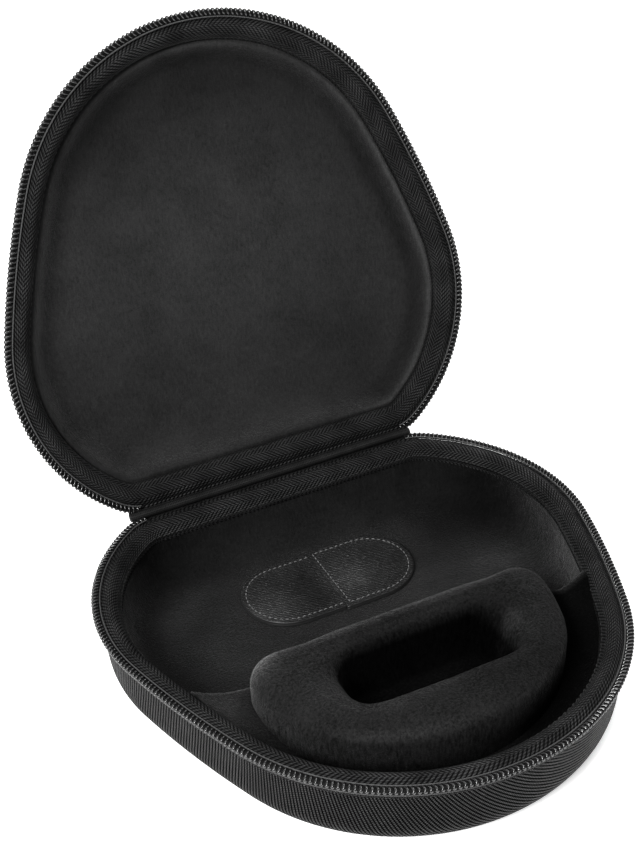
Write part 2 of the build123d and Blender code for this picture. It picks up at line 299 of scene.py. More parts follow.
def weld(piece, distance):
    """Join points closer than a distance, in mm, and turn all faces outwards."""
    work = bmesh.new()
    work.from_mesh(piece.data)
    bmesh.ops.remove_doubles(work, verts=work.verts, dist=distance * MM)
    bmesh.ops.recalc_face_normals(work, faces=work.faces)
    work.to_mesh(piece.data)
    work.free()
    smooth_shaded(piece.data)


def frames(path, closed):
    """Two crosswise unit vectors at each point of a path, carried along it without twist."""
    if closed:
        tangent = np.roll(path, -1, 0) - np.roll(path, 1, 0)
    else:
        tangent = np.gradient(path, axis=0)
    tangent /= np.linalg.norm(tangent, axis=1)[:, None]
    side = np.empty_like(path)
    start = np.cross(tangent[0], (0.0, 0.0, 1.0))
    side[0] = start / np.linalg.norm(start)
    for i in range(1, len(path)):
        vector = side[i - 1] - tangent[i] * (side[i - 1] @ tangent[i])
        side[i] = vector / np.linalg.norm(vector)
    return side, np.cross(tangent, side)


def tube(name, path, radius, sides, closed=False, flat=1.0):
    """Round wire along a path in metres. The radius is one number or one for each point; flat squeezes its
    height."""
    side, up = frames(path, closed)
    angle = np.linspace(0, 2 * math.pi, sides, endpoint=False)
    radii = np.broadcast_to(np.asarray(radius) * MM, len(path))
    ring = side[:, None] * np.cos(angle)[None, :, None] + up[:, None] * (flat * np.sin(angle))[None, :, None]
    verts = (path[:, None] + ring * radii[:, None, None]).reshape(-1, 3)
    faces = grid(len(path), sides, loop=True) if closed else capped(len(path), sides)
    return new_mesh(name, verts, faces)


def join(name, pieces):
    """One object from several."""
    verts = []
    faces = []
    start = 0
    for piece in pieces:
        verts.append(get_points(piece.data))
        faces += [[start + i for i in poly.vertices] for poly in piece.data.polygons]
        start += len(piece.data.vertices)
        bpy.data.objects.remove(piece)
    return new_mesh(name, np.vstack(verts), faces)


def stitches(name, path, up, length, gap, radius, lift=0.0):
    """Row of sewn stitches along a path in metres: each is a thread that dips in at both ends."""
    steps = np.linalg.norm(np.diff(path, axis=0), axis=1)
    along = np.concatenate([[0.0], np.cumsum(steps)]) / MM
    count = int(along[-1] // (length + gap))
    pitch = along[-1] / count
    shape = np.linspace(-0.5, 0.5, 7)
    rise = np.cos(shape * math.pi) ** 0.6 * radius * 1.1 - radius * 0.5 + lift
    thick = radius * MM * np.clip(np.cos(shape * math.pi * 0.86), 0.25, 1)
    sides = 6
    angle = np.linspace(0, 2 * math.pi, sides, endpoint=False)
    verts = []
    faces = []
    for n in range(count):
        s = (n + 0.5) * pitch + shape * length
        points = np.column_stack([np.interp(s, along, path[:, k]) for k in range(3)])
        lifted = np.column_stack([np.interp(s, along, up[:, k]) for k in range(3)])
        lifted /= np.linalg.norm(lifted, axis=1)[:, None]
        direction = points[-1] - points[0]
        direction /= np.linalg.norm(direction)
        across = np.cross(direction, lifted)
        centre = points + lifted * (rise * MM)[:, None]
        faces += capped(len(shape), sides, start=len(verts) * sides)
        for p in range(len(shape)):
            offset = np.outer(np.cos(angle), across[p]) + np.outer(np.sin(angle), lifted[p])
            verts.append(centre[p] + thick[p] * offset)
    return new_mesh(name, np.vstack(verts), faces)


def paint_light_shade(piece, half, tone):
    """Paint light and shade onto a piece: tone gives the brightness of points in a half's frame, mm, kept with the
    mesh.
    """
    local = (get_points(piece.data) - HINGE) @ half_basis(half).T / MM
    layer = piece.data.attributes.new("painted_shading", "FLOAT", "POINT")
    layer.data.foreach_set("value", np.asarray(tone(local), np.float32))


def patches(plan, spots):
    """Product of soft elliptic spots: each is x, y, reach in x, reach in y and gain."""
    tone = np.ones(len(plan))
    for x, y, reach_x, reach_y, gain in spots:
        gap = ((plan[:, 0] - x) / reach_x) ** 2 + ((plan[:, 1] - y) / reach_y) ** 2
        tone *= 1 + gain * np.exp(-gap)
    return tone


# ---- materials ----
class Value:
    """Output of a material node that can be used in sums."""

    def __init__(self, graph, socket):
        self.graph = graph
        self.socket = socket

    def __add__(self, other):
        return self.graph.sum("ADD", self, other)

    def __sub__(self, other):
        return self.graph.sum("SUBTRACT", self, other)

    def __mul__(self, other):
        return self.graph.sum("MULTIPLY", self, other)

    def __truediv__(self, other):
        return self.graph.sum("DIVIDE", self, other)

    def __pow__(self, other):
        return self.graph.sum("POWER", self, other)

    def floor(self):
        return self.graph.sum("FLOOR", self)

    def odd(self):
        """0 in even rows and 1 in odd ones."""
        return self.graph.sum("MODULO", self, 2.0)

    def hump(self):
        """Up from 0 to 1 and back, once in every unit."""
        return self.graph.sum("SINE", self.graph.sum("FRACT", self) * math.pi)

    def spread(self, low, high, to_low=0.0, to_high=1.0):
        """A range of this value turned into another range."""
        return self.graph.node("ShaderNodeMapRange", _0=self, _1=low, _2=high, _3=to_low, _4=to_high)

    def vary(self, low, high):
        """A noise's usual range turned into another range."""
        return self.spread(0.3, 0.7, low, high)


class Graph:
    """A material and short calls that wire its nodes."""

    def __init__(self, name):
        self.material = bpy.data.materials.new(name)
        self.material.use_nodes = True
        self.tree = self.material.node_tree
        self.tree.nodes.clear()
        out = self.tree.nodes.new("ShaderNodeOutputMaterial")
        self.shader = self.tree.nodes.new("ShaderNodeBsdfPrincipled")
        self.tree.links.new(self.shader.outputs[0], out.inputs[0])
        self.place = self.node("ShaderNodeTexCoord", 3)

    def put(self, socket, value):
        """Link a value to a socket, or set the socket to a number or colour."""
        if isinstance(value, Value):
            self.tree.links.new(value.socket, socket)
        elif isinstance(value, tuple) and socket.type == "RGBA":
            socket.default_value = (*value, 1.0)
        else:
            socket.default_value = value

    def node(self, kind, output=0, props=None, **inputs):
        """New node and one of its outputs; inputs are given by name, or by number as _3."""
        made = self.tree.nodes.new(kind)
        for key, value in (props or {}).items():
            setattr(made, key, value)
        for key, value in inputs.items():
            self.put(made.inputs[int(key[1:]) if key[0] == "_" else key], value)
        return Value(self, made.outputs[output])

    def sum(self, operation, *values):
        """Math node over values and numbers."""
        inputs = {f"_{index}": value for index, value in enumerate(values)}
        return self.node("ShaderNodeMath", props={"operation": operation}, **inputs)

    def noise(self, vector, scale, detail=3.0, rough=0.5, distortion=0.0):
        return self.node("ShaderNodeTexNoise", Vector=vector, Scale=scale, Detail=detail, Roughness=rough,
                         Distortion=distortion)

    def bands(self, vector, direction, scale, distortion, **more):
        return self.node("ShaderNodeTexWave", props={"bands_direction": direction}, Vector=vector, Scale=scale,
                         Distortion=distortion, **more)

    def brushed(self):
        """Light and shade painted on the mesh."""
        return self.node("ShaderNodeAttribute", 2, {"attribute_name": "painted_shading"})

    def mix(self, share, a, b):
        return self.node("ShaderNodeMix", 2, {"data_type": "RGBA"}, _0=share, _6=a, _7=b)

    def stretch(self, vector, scale, turn=(0.0, 0.0, 0.0)):
        return self.node("ShaderNodeMapping", Vector=vector, Scale=scale, Rotation=turn)

    def sheet(self):
        """The two directions of a piece's uv sheet, in mm."""
        where = self.node("ShaderNodeTexCoord", 2)
        return [self.node("ShaderNodeSeparateXYZ", axis, _0=where) for axis in (0, 1)]

    def bump(self, height, distance, strength=1.0, **normal):
        return self.node("ShaderNodeBump", Height=height, Distance=distance, Strength=strength, **normal)

    def surface(self, **inputs):
        """Set the shader's inputs and return the finished material."""
        for key, value in inputs.items():
            self.put(self.shader.inputs[key.replace("_", " ")], value)
        return self.material


def grey(value, tint=0.0):
    """Near-neutral colour; a positive tint leans blue."""
    return (value, value * (1 + 0.4 * tint), value * (1 + tint))


def velour(name, dark, light, streak):
    """Short pile: patches, fine strokes (streak sets their force) and specks, all scaled by the light and shade
    painted on the mesh.
    """
    g = Graph(name)
    # light and shade painted on the mesh; it scales the colour, the sheen and the gloss below
    painted_shading = g.brushed()
    strokes = g.noise(g.stretch(g.place, (1000, 1000, 260)), 1.0, 3, 0.65)
    specks = g.noise(g.place, 1700, 3, 0.7)
    share = g.noise(g.place, 48, 3, 0.5, 0.3).spread(0.25, 0.75, 0.3, 0.7)
    share = share + (strokes - 0.5) * (2.6 * streak) + (specks - 0.5) * 1.5
    share = g.node("ShaderNodeClamp", Value=share)
    colour = g.node("ShaderNodeHueSaturation", Value=painted_shading, Color=g.mix(share, grey(dark), grey(light)))
    soft = g.bump(g.noise(g.place, 120, 3, 0.5), 0.0007, 0.6)
    pile = g.bump(strokes * 0.8 + specks, 0.0005, Normal=soft)
    sheen = share.spread(0, 1, 0.03, 0.22) * painted_shading
    return g.surface(Base_Color=colour, Roughness=0.92, Specular_IOR_Level=painted_shading * 0.04, Normal=pile,
                     Sheen_Weight=sheen, Sheen_Roughness=0.35, Sheen_Tint=grey(0.6))


def woven_cover():
    """Ballistic nylon: strong slanted ribs, each broken into threads that alternate from rib to rib."""
    g = Graph("woven_cover")
    rib_pitch = 1.5
    thread_pitch = 1.0
    far = 1000.0  # keeps the count of ribs and threads above zero
    turn = math.radians(35)
    u, v = g.sheet()
    rib = (v * math.cos(turn) - u * math.sin(turn) + far) / rib_pitch
    along = (u * math.cos(turn) + v * math.sin(turn) + far) / thread_pitch + rib.floor().odd() * 0.5
    height = rib.hump() ** 1.2 * (along.hump() * 0.8 + 0.2)
    fibre = g.noise(g.stretch(g.place, (2600, 2600, 2600)), 1.0, 2, 0.6)
    share = (height * g.noise(g.place, 60, 4, 0.6).vary(0.82, 1.0)) ** 2.4
    colour = g.mix(share, grey(0.0004), grey(0.0168, 0.02))
    return g.surface(Base_Color=colour, Roughness=fibre.vary(0.38, 0.58), Specular_IOR_Level=share * 0.42,
                     Normal=g.bump(height + fibre * 0.12, 0.0006))


def herringbone():
    """Twill tape: slanted ribs that turn back at each column; u runs along the tape, v across it."""
    g = Graph("zip_tape")
    column = 4.3
    rib_pitch = 1.9
    thread_pitch = 0.85
    u, v = g.sheet()
    row = (v / column).floor()
    slant = g.sum("PINGPONG", v, column) * 1.15
    rib = ((u + slant) / rib_pitch + row.odd() * 0.5).hump() ** 0.8
    threads = g.sum("SINE", (v + row * 0.2) * (2 * math.pi / thread_pitch))
    fibre = g.noise(g.place, 2300, 2, 0.6)
    height = rib * threads.spread(-1.0, 1.0, 0.5, 1.1)
    share = height * g.noise(g.place, 70, 3, 0.6).vary(0.6, 1.0)
    colour = g.mix(share ** 1.5, grey(0.0018), grey(0.0275, 0.02))
    return g.surface(Base_Color=colour, Roughness=fibre.vary(0.42, 0.62), Specular_IOR_Level=share ** 2 * 0.38,
                     Normal=g.bump(height + fibre * 0.15, 0.00055))


def plain_cloth(name, value):
    """Close-woven nylon for the hinge strip and tabs."""
    g = Graph(name)
    height = g.sum("MAXIMUM", g.bands(g.place, "X", 420, 0.3), g.bands(g.place, "Z", 420, 0.3))
    fibre = g.noise(g.place, 2500, 2, 0.6)
    share = height * g.noise(g.place, 90, 3, 0.6).vary(0.5, 1.0)
    colour = g.mix(share, grey(value * 0.3), grey(value * 1.3))
    return g.surface(Base_Color=colour, Roughness=fibre.vary(0.5, 0.7), Specular_IOR_Level=share * 0.25,
                     Normal=g.bump(height + fibre * 0.3, 0.00025, 0.8))


def leather():
    """Cross-grain leather: fine wavy ridges one way, pressed creases the other, glossier where it is rubbed;
    painted highlights and shade on the leaf also set its colour and gloss.
    """
    g = Graph("leather")
    place = g.stretch(g.place, (1000, 1000, 1000), (0, 0, math.radians(14)))
    cells = g.node("ShaderNodeTexVoronoi", props={"feature": "DISTANCE_TO_EDGE"},
                   Vector=g.stretch(place, (0.75, 2.1, 1.0)), Scale=1.0)
    grain = g.bands(place, "Y", 0.30, 5.0, _3=3.0, _4=0.55) * cells.spread(0.0, 0.22, 0.35, 1.0)
    # painted highlights and shade read from the leaf, times wear that varies at random; together they set colour
    # and gloss
    rubbed = g.brushed() * g.noise(place, 0.05, 3, 0.5).spread(0.35, 0.65, 0.75, 1.25)
    bump = g.bump(grain + g.noise(place, 3.2, 3, 0.6) * 0.15, 0.00055)
    return g.surface(Base_Color=g.mix(grain * rubbed, grey(0.0025), grey(0.026)), Normal=bump,
                     Roughness=grain.spread(0.0, 1.0, 0.55, 0.30),
                     Specular_IOR_Level=grain.spread(0.0, 1.0, 0.05, 0.6) * rubbed)


def marked(name, colours, gloss, scale, depth, strength, fine=0.6, **more):
    """Close surface with faint marks, scaled in x, y and z, that vary its colour, roughness and height."""
    g = Graph(name)
    marks = g.noise(g.stretch(g.place, scale), 1.0, 3, fine)
    return g.surface(Base_Color=g.mix(marks, grey(colours[0]), grey(colours[1])), Roughness=marks.vary(*gloss),
                     Normal=g.bump(marks, depth, strength), **more)


def thread(name, low, high, shine=0.4):
    """Twisted sewing thread."""
    g = Graph(name)
    twist = g.bands(g.place, "DIAGONAL", 900, 1.0)
    share = twist * g.noise(g.place, 2600, 2, 0.6).vary(0.6, 1.0)
    return g.surface(Base_Color=g.mix(share, grey(low), grey(high)), Roughness=0.6, Specular_IOR_Level=shine,
                     Normal=g.bump(twist, 0.0001, 0.8))


def foam(name, value):
    """Closed-cell board or foam, only seen where something is lifted away."""
    g = Graph(name)
    cells = g.node("ShaderNodeTexVoronoi", Vector=g.place, Scale=900)
    patch = g.noise(g.place, 80, 3, 0.6)
    return g.surface(Base_Color=g.mix(cells * patch, grey(value * 0.6), grey(value * 1.4)),
                     Roughness=patch.vary(0.7, 0.9), Normal=g.bump(cells, 0.0001, 0.5))


def enamel():
    """Black enamelled die-casting, rubbed brighter in patches."""
    g = Graph("slider_enamel")
    flow = g.noise(g.place, 700, 3, 0.5)
    rubbed = g.noise(g.place, 260, 4, 0.65).spread(0.56, 0.72)
    return g.surface(Base_Color=g.mix(rubbed, grey(0.012), grey(0.055)), Metallic=rubbed.spread(0, 1, 0.5, 0.9),
                     Coat_Weight=0.5, Coat_Roughness=0.12, Roughness=flow.vary(0.24, 0.42),
                     Normal=g.bump(flow, 0.00008, 0.5))


def moulded_rubber():
    """Matt moulded grip with a fine texture."""
    g = Graph("pull_rubber")
    grain = g.noise(g.place, 2400, 3, 0.65)
    colour = g.mix(g.noise(g.place, 160, 3, 0.6), grey(0.010), grey(0.024))
    return g.surface(Base_Color=colour, Roughness=grain.vary(0.5, 0.75), Normal=g.bump(grain, 0.0001, 0.7))


def paper():
    """Pale studio paper that glows a little, so that it stays white all round the case."""
    g = Graph("studio_paper")
    white = 0.93
    colour = g.mix(g.noise(g.place, 40, 4, 0.6), grey(0.985 * white), grey(white))
    return g.surface(Base_Color=colour, Roughness=0.9, Specular_IOR_Level=0.1, Emission_Color=colour,
                     Emission_Strength=0.62)


VELOUR_LID = velour("velour_lid", 0.0060, 0.0175, 0.5)
VELOUR_BASE = velour("velour_base", 0.0035, 0.0120, 0.5)
VELOUR_ISLAND = velour("velour_island", 0.0045, 0.0160, 0.9)
COVER = woven_cover()
TAPE = herringbone()
HINGE_CLOTH = plain_cloth("hinge_cloth", 0.008)
LEATHER = leather()
LEATHER_EDGE = marked("leather_edge", (0.006, 0.022), (0.35, 0.55), (900, 900, 900), 0.0001, 0.6)
COIL = marked("coil_nylon", (0.0020, 0.0060), (0.15, 0.22), (1400, 1400, 1400), 0.00004, 0.4, fine=0.5,
              Specular_IOR_Level=0.7)
BLACK_THREAD = thread("black_thread", 0.0015, 0.005, 0.08)
DULL_THREAD = thread("dull_thread", 0.004, 0.035)
BRIGHT_THREAD = thread("bright_thread", 0.015, 0.07)
GREY_THREAD = thread("grey_thread", 0.05, 0.18)
EVA = foam("eva_board", 0.03)
FOAM = foam("padding_foam", 0.03)
ENAMEL = enamel()
NICKEL = marked("magnet_nickel", (0.45, 0.66), (0.2, 0.36), (3000, 300, 300), 0.00003, 0.4, Metallic=1.0)
RUBBER = moulded_rubber()


def finish(piece, material, slot, body, *nodes):
    """Material, body and the CAD nodes that a piece stands for; the record slot is not used."""
    piece.data.materials.append(material)
    if body:
        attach(piece, body)
    if nodes:
        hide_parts(*nodes)


# ---- the two halves ----
FLAT_RINGS = 24  # rings across a cover's flat outside
WALL_RINGS = 30  # rings of a lining's wall, before those past its steep part are dropped
FLOOR_RINGS = 105  # rings across the rest of a lining


def wall_inset(depth):
    """Inset of the outside wall at a depth below the zip plane."""
    return RIM_INSET + math.tan(DRAFT) * depth


def shrink_rings(ring, middle, count):
    """Rings from a given one in towards a middle point, leaving the point itself out."""
    return [ring + (middle - ring) * share for share in np.arange(1, count) / count]


def cover(half, depth, corner):
    """Woven cover: over the rim's edge, down the wall, round the corner and across the flat outside."""
    top = RIM_DROP
    profile = [(wall_inset(top) + 0.75, -top + 0.05), (wall_inset(top) + 0.3, -top + 0.35),
               (wall_inset(top), -top)]
    low = depth - corner * (1 - math.sin(DRAFT))
    profile += [(wall_inset(down), -down) for down in np.linspace(top, low, 16)[1:]]
    centre_in = wall_inset(low) + corner * math.cos(DRAFT)
    for angle in np.linspace(DRAFT, math.pi / 2, 14)[1:]:
        profile.append((centre_in - corner * math.cos(angle), -depth + corner * (1 - math.sin(angle))))
    edge = RIM - profile[-1][0] * RIM_NORMAL
    run = [0.0]
    for here, before in zip(profile[::-1][1:], profile[::-1]):
        run.append(run[-1] + math.hypot(here[0] - before[0], here[1] - before[1]))
    rings = [at_height(RIM - inset * RIM_NORMAL, z) for inset, z in profile]
    uvs = [closed_up(edge + up * RIM_NORMAL) for up in run[::-1]]
    middle = np.array([0.0, -RIM_REACH * 0.46, -depth])
    flat = shrink_rings(rings[-1], middle, FLAT_RINGS)
    rings = [ring[::-1] for ring in rings + flat]
    uvs = [uv[::-1] for uv in uvs + [closed_up(ring[:, :2]) for ring in flat]]
    piece = ring_mesh(f"{half}_woven_cover", rings, uvs, half, (middle, middle[:2]))
    solidify(piece, 0.8)
    finish(piece, COVER, "woven_cover", half, f"{half}_cover")


# inset and height of the tape's section, from under the coil, over the crown, to the lining
TAPE_PROFILE = np.array([
    (2.9, -5.3), (2.3, -5.0), (1.7, -4.5), (1.3, -3.9), (1.2, -3.2), (1.6, -2.75), (2.4, -2.6), (3.2, -2.6),
    (3.7, -2.45), (4.1, -1.9), (4.7, -1.4), (5.6, -1.1), (6.6, -1.05), (7.7, -1.25), (8.8, -1.8), (9.7, -2.6),
    (10.4, -3.5), (11.0, -4.6), (11.4, -5.7), (11.6, -6.8), (11.7, -7.6)])


def zip_tape(half):
    """Herringbone tape: wrapped over the rim's edge under the coil, crowned, then down to the lining."""
    fine = np.linspace(0, len(TAPE_PROFILE) - 1, 55)
    knots = np.arange(len(TAPE_PROFILE))
    profile = list(zip(*(np.interp(fine, knots, TAPE_PROFILE[:, axis]) for axis in (0, 1))))
    sag = 0.22 * np.sin(RIM_ALONG[:-1] / 23.0) + 0.12 * np.sin(RIM_ALONG[:-1] / 7.7 + 1.0)
    rings = []
    uvs = []
    run = 0.0
    last = profile[0]
    for inset, z in profile:
        run += math.hypot(inset - last[0], z - last[1])
        last = (inset, z)
        wider = ramp(inset, COIL_WIDTH, LINING_EDGE) * RIM_EXTRA[half]
        over_hinge = 1.9 * HINGE_SHARE * ramp(inset, 5.5, 2.0)
        crown = ramp(inset, 4.0, 6.0) * ramp(inset, 11.5, 8.5)
        plan = RIM - (inset + wider - over_hinge)[:, None] * RIM_NORMAL
        rings.append(at_height(plan, z + (0.8 * sag + CROWN_LIFT[half]) * crown))
        uvs.append(at_height(RIM_ALONG[:, None], run))
    piece = ring_mesh(f"{half}_herringbone_tape", rings, uvs, half)
    solidify(piece, 0.55)
    finish(piece, TAPE, "zip_tape", half, f"{half}_zip_tape")


COIL_LINE = around(RIM - COIL_WIDTH / 2 * RIM_NORMAL)
RIGHT_SIDE = slice(len(RIM) // 2)
AT_HINGE = (RIM[RIGHT_SIDE, 0] < 63.0) & (RIM[RIGHT_SIDE, 1] > -8.0)
COIL_REACH = COIL_LINE[AT_HINGE.argmax()]  # the coil stops at the hinge


def rim_at(along, inset):
    """Plan point at a distance along the rim, from the front centre, and at an inset."""
    s = np.mod(along, COIL_LINE[-1])
    x, y, nx, ny = (np.interp(s, COIL_LINE, np.append(table[:, axis], table[0, axis]))
                    for table in (RIM, RIM_NORMAL) for axis in (0, 1))
    return np.column_stack([x - inset * nx, y - inset * ny])


def along_coil(inset, z, wave=0.0):
    """Path beside the coil at an inset and height, waving once for each turn of the coil."""
    along = np.linspace(-COIL_REACH, COIL_REACH, int(2 * COIL_REACH / 0.5))
    return at_height(rim_at(along, inset), z + wave * np.sin(along * 2 * math.pi / COIL_PITCH))


def zip_coil(half):
    """Nylon coil round the rim and its core: a flattened helix whose heads swell into beads at the edge."""
    turns = int(2 * COIL_REACH / COIL_PITCH)
    phase = np.linspace(0, 2 * math.pi * turns, turns * 20 + 1)
    along = -COIL_REACH + (phase + 0.6 * np.sin(phase)) / (2 * math.pi) * COIL_PITCH
    plan = rim_at(along, 0.05 + COIL_WIDTH / 2 + (COIL_WIDTH / 2 - 0.5) * np.cos(phase))
    height = -COIL_THICK / 2 - 0.15 + (COIL_THICK / 2 - 0.42) * np.sin(phase)
    radius = 0.46 + 0.34 * np.clip(-np.cos(phase), 0, 1) ** 2
    piece = tube(f"{half}_coil", to_world(at_height(plan, height), half), radius, 8)
    finish(piece, COIL, "zip_coil", half, f"{half}_zip_coil")
    core = tube(f"{half}_coil_core", to_world(along_coil(1.1, -1.2), half), 0.85, 10, flat=0.85)
    finish(core, BLACK_THREAD, "zip_coil", half)


def sewing(half):
    """Threads of the zip: two that bind the coil, the rim's piping, and the row on the tape's inner edge."""
    inner = tube("part", to_world(along_coil(COIL_WIDTH + 0.30, -0.75, 0.03), half), 0.27, 8)
    outer = tube("part", to_world(along_coil(0.85, -2.95, 0.03), half), 0.26, 8)
    finish(join(f"{half}_coil_binding", [inner, outer]), BRIGHT_THREAD, "zip_tape", half)
    path = to_world(at_height(RIM - 1.95 * RIM_NORMAL, -4.75), half)
    piping = tube(f"{half}_rim_piping", path, 0.42, 8, closed=True)
    finish(piping, HINGE_CLOTH, "zip_tape", half)
    line = closed_up(at_height(RIM - (11.25 + RIM_EXTRA[half])[:, None] * RIM_NORMAL, -5.1))
    up = at_height(-1.7 * closed_up(RIM_NORMAL), 1.0)
    row = stitches(f"{half}_tape_stitching", to_world(line, half), up @ half_basis(half), 1.9, 1.0, 0.17, -0.02)
    finish(row, DULL_THREAD, "zip_tape", half)


BASE_WALL = (20.0, 2.7)  # how far the moulded wall reaches in, and how square its round is
BASE_FRONT_WALL = (12.0, 2.2)
LID_WALL = (11.0, 2.3)
UNDER_TAPE = [10.8, 11.2]  # insets of the rings that the tape hides
STEEP = 17.5  # inset where the steep part of the wall ends
WAVES_FROM = 3.0  # the velour is even for this far from its edge


def wall_height(inset, floor, wall):
    """Height of a moulded lining wall that starts upright under the tape and rounds into the floor."""
    reach, power = wall
    share = np.clip((LINING_EDGE + reach - inset) / reach, 0, 1)
    return -floor + (floor - LINING_TOP) * (1 - (1 - share ** power) ** (1 / power))


def lining(half, wall, height, tone, material, *nodes):
    """Velour lining of a half, its rings close together on the steep wall and even across the floor. Height
    gives the surface from plan points and insets."""
    reach, power = wall
    middle = np.array([0.0, -RIM_REACH * 0.47])
    up_wall = 1 - np.linspace(0.0, 1.0, WALL_RINGS)
    spread = LINING_EDGE + reach * (1 - (1 - up_wall ** power) ** (1 / power))
    insets = UNDER_TAPE + sorted({round(float(value), 4) for value in spread if value < STEEP})
    plan = [RIM - (inset + RIM_EXTRA[half])[:, None] * RIM_NORMAL for inset in insets]
    plan += shrink_rings(plan[-1], middle, FLOOR_RINGS)
    rings = []
    for index, flat in enumerate(plan):
        inset = np.full(len(flat), insets[index]) if index < len(insets) else distance_in(flat, half)
        rings.append(at_height(flat, height(flat, inset)))
    rings[0][:, 2] -= 0.5
    centre_z = height(middle[None, :], distance_in(middle[None, :], half))[0]
    uvs = [closed_up(flat) for flat in plan]
    piece = ring_mesh(f"{half}_velour_lining", rings, uvs, half, ((*middle, centre_z), middle))
    # paints the lining's light and shade onto the mesh
    paint_light_shade(piece, half, tone)
    solidify(piece, 0.8)
    finish(piece, material, "velour", half, *nodes)


def soft_waves(plan, inset, size):
    """Slow unevenness of hand-laid pile fabric, fading out towards the tape."""
    x, y = plan[:, 0], plan[:, 1]
    return ramp(inset, LINING_EDGE, LINING_EDGE + WAVES_FROM) * size * (
        np.sin(x / 17.0 + 0.7) * np.sin(y / 21.0 + 1.9) + 0.5 * np.sin(x / 7.3 + y / 9.1)
        + 0.35 * np.sin(x / 4.1 - y / 5.3 + 2.0))


STEP_BACK = -41.0 - HINGE_Y  # the island and the step are placed from the case's own y = 0
STEP_TOP = 11.3
CHANNEL = 22.7
POCKET_MIDDLE = np.array([0.9, -67.5 - HINGE_Y])
POCKET_HALF = np.array([34.0, 14.5])
POCKET_CORNER = 11.0
POCKET_DEPTH = 21.6


def step_line(plan):
    """The step's back edge: straight behind the island, brought forward beside its right end."""
    return STEP_BACK - 10.5 * ease(ramp(plan[:, 0], 60.0, 70.0))


def base_height(plan, inset):
    """Recess floor, steep back of the step, saddle and headband channel, with the wall rounded into them, and a
    hollow under the island's pocket."""
    y = plan[:, 1] - step_line(plan)
    rise = 8.5 * ramp(inset, LINING_EDGE + 30.0, LINING_EDGE) ** 2.6
    front = smooth_max(rise - STEP_TOP + 0.25 * np.minimum(y, 0), rise - CHANNEL, 4.0)
    back = rise - STEP_TOP - 5.0 * (y - 0.8)
    floor = smooth_max(smooth_min(front, back, 3.6), -BASE_FLOOR, 4.0)
    ahead = ramp(y, 0.0, -12.0)
    wall = wall_height(inset, BASE_FLOOR, BASE_WALL) * (1 - ahead)
    wall = wall + wall_height(inset, BASE_FLOOR, BASE_FRONT_WALL) * ahead
    past_pocket = (np.abs(plan - POCKET_MIDDLE) - POCKET_HALF).max(axis=1)
    hollow = 8.0 * ramp(past_pocket, 6.0, 3.0)
    crease = 0.3 + 4.5 * ramp(inset, LINING_EDGE, LINING_EDGE + WAVES_FROM)
    return smooth_max(wall, floor, crease) + soft_waves(plan, inset, 0.13) - hollow


# spots of painted light and shade on the base's lining
BASE_LIGHT_SPOTS = [
    (84.0, -97.0, 13, 18, 0.25), (66.0, -100.0, 7, 7, 0.5), (74.0, -38.0, 34, 24, -0.6),
    (-74.0, -12.0, 30, 17, -0.7), (72.0, -66.0, 16, 9, 0.35), (-56.0, -50.0, 34, 26, -0.1),
    (-74.0, -117.0, 9, 16, 0.35), (0.0, -2.0, 40, 8, 0.3)]


def base_light_shade(local):
    """Painted light and shade of the base: a lit right wall and floor, dark corners at the back, a painted
    highlight along the step's top edge, and a trench painted black where shade falls.
    """
    y = local[:, 1] - step_line(local)
    ahead = ramp(y, 0.0, -3.0)
    deep = ramp(-local[:, 2], 9.0, 19.0)
    right = ramp(local[:, 0], -25.0, 25.0)
    # painted shade: in front of the step the lining darkens to near black, most where it is deep and towards the
    # right
    dark = 1 - ahead * (0.93 * deep * (0.6 + 0.4 * right) + 0.82 * right * (1 - deep))
    # painted highlight along the step's top edge, on its left side
    crest_highlight = 1 + 0.7 * bell(y, 0.2, 0.9) * (1 - right)
    return patches(local, BASE_LIGHT_SPOTS) * np.clip(dark, 0.04, 1) * crest_highlight


# spots of painted light and shade on the lid's lining
LID_LIGHT_SPOTS = [
    (1.0, -95.0, 65, 48, 0.6), (20.0, -28.0, 60, 16, 0.25), (70.0, -90.0, 18, 46, 0.25),
    (-75.0, -66.0, 16, 34, 0.2), (0.0, -170.0, 60, 16, -0.2), (45.0, -150.0, 22, 22, -0.15)]


def lid_light_shade(local):
    """Painted light and shade of the lid: bright across the middle, with a lit roll and a shaded wall at its top
    and right.
    """
    inset = np.concatenate([distance_in(part, "lid") for part in np.array_split(local[:, :2], 60)])
    side = ramp(-local[:, 0], 30.0, 70.0)
    top = ramp(-local[:, 1], 120.0, 160.0) * ramp(local[:, 0], 60.0, 0.0)
    # painted highlight on the roll just inside the tape and painted shade on the wall below it, at the lid's top
    # and right
    edge = np.maximum(side, 0.7 * top) * (1.3 * bell(inset, 13.4, 1.3) - 0.4 * bell(inset, 18.0, 3.4))
    return patches(local, LID_LIGHT_SPOTS) * (1 + edge)


# inset and height of the lid lining's section: the padded roll, then the wall down to the floor
LID_PROFILE = [
    (10.0, -8.6), (11.3, -8.4), (12.0, -7.7), (12.8, -7.1), (13.7, -7.0), (14.6, -7.7), (15.5, -9.4),
    (16.6, -11.8), (18.0, -14.2), (19.8, -16.3), (22.2, -17.9), (25.5, -18.7), (30.0, -LID_FLOOR),
    (200.0, -LID_FLOOR)]


def smooth_table(points, spread):
    """Profile as a fine table, its corners rounded over a width."""
    step = 0.1
    insets = np.arange(points[0][0], 40.0, step)
    z = np.interp(insets, *np.transpose(points))
    reach = int(3 * spread / step)
    weights = np.exp(-0.5 * (np.arange(-reach, reach + 1) * step / spread) ** 2)
    padded = np.concatenate([np.full(reach, z[0]), z, np.full(reach, z[-1])])
    return insets, np.convolve(padded, weights / weights.sum(), "valid")


LID_TABLE = smooth_table(LID_PROFILE, 0.55)


def lid_height(plan, inset):
    """Padded roll just inside the tape, then a wall that rounds into the lid's floor."""
    return np.interp(inset, *LID_TABLE) + soft_waves(plan, inset, 0.12)


